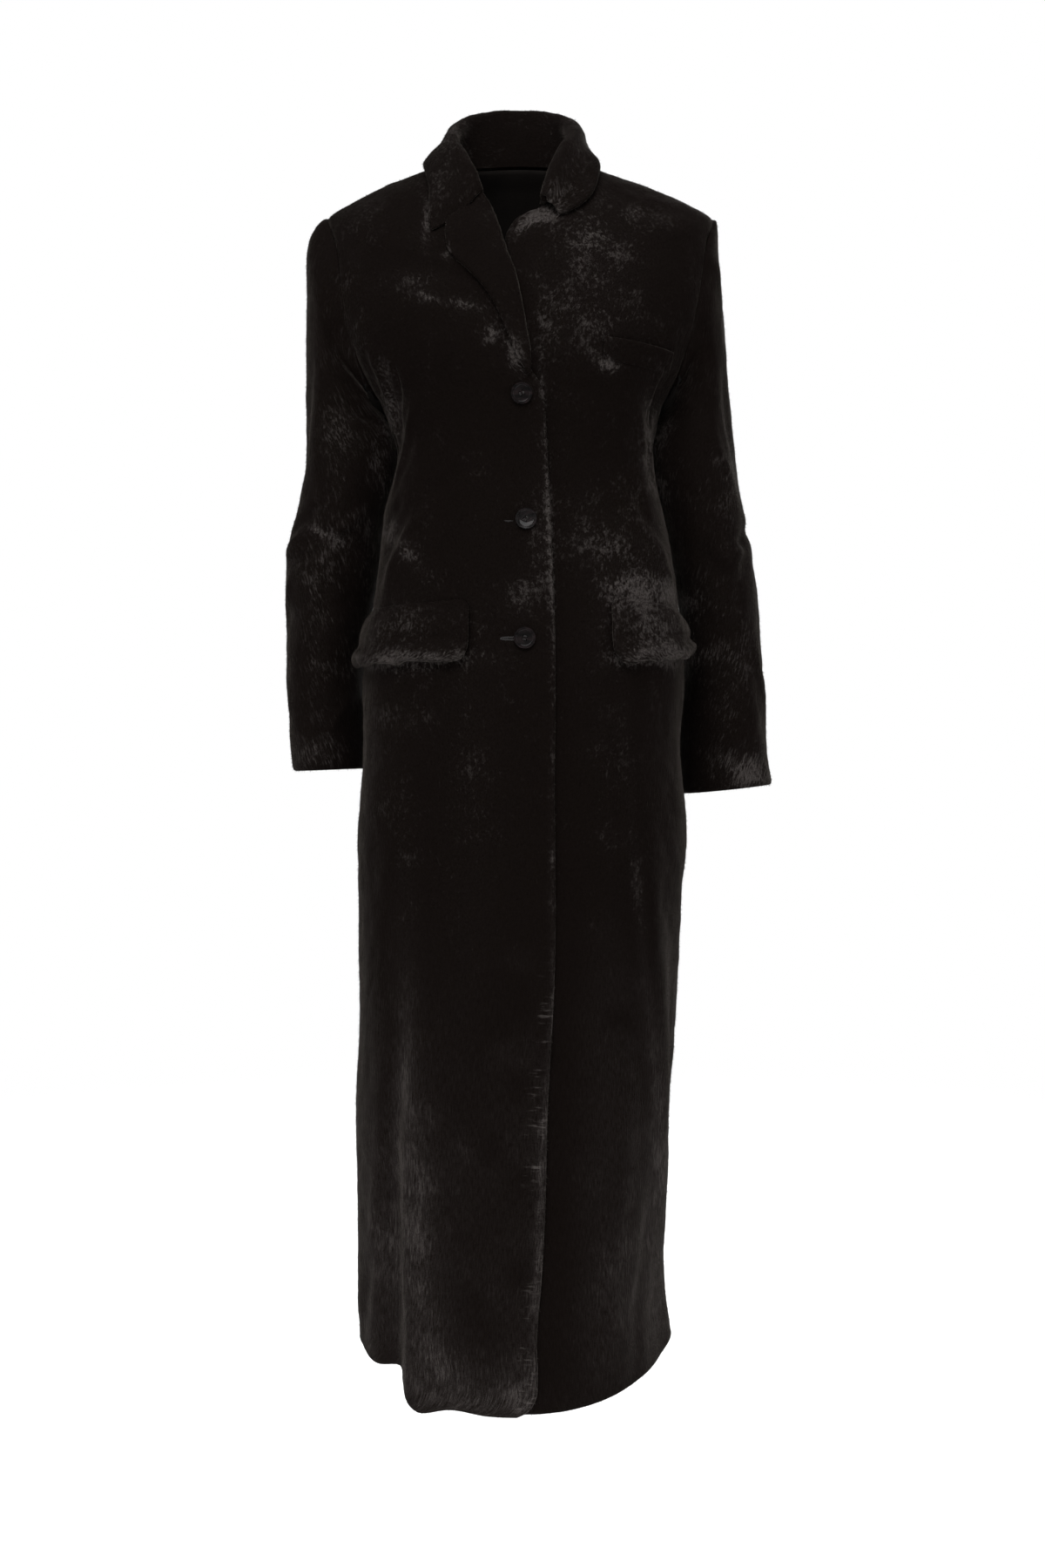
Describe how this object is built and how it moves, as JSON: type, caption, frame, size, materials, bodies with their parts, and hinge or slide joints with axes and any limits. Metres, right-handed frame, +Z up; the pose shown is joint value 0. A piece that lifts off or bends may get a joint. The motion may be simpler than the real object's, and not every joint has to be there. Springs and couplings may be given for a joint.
{
  "type": "shearling coat",
  "caption": "Long black sheared-pile shearling coat, single-breasted and buttoned, with a notched collar, hip flaps and a breast welt, in its worn shape.",
  "frame": {"origin": "between the wearer's shoulders, 36 mm below the side of the neck seam, where the shoulders carry the coat", "axes": "+Z up, -Y the way the wearer faces, +X towards the wearer's left arm"},
  "size_m": [0.5399, 0.3474, 1.3706],
  "materials": {
    "black_sheared_pile": "short dense sheared pile, warm near-black with a soft brownish sheen",
    "black_sheared_pile_trim": "the same pile on the collar, lapel, flaps and welt",
    "black_button": "polished"
  },
  "bodies": {
    "root": {"front_right": "black_sheared_pile", "front_left": "black_sheared_pile", "back": "black_sheared_pile", "sleeve_right": "black_sheared_pile", "sleeve_left": "black_sheared_pile", "collar": "black_sheared_pile_trim", "lapel_right": "black_sheared_pile_trim", "flap_right": "black_sheared_pile_trim", "flap_left": "black_sheared_pile_trim", "breast_welt": "black_sheared_pile_trim", "button_1": "black_button", "button_2": "black_button", "button_3": "black_button"}
  },
  "joints": []
}
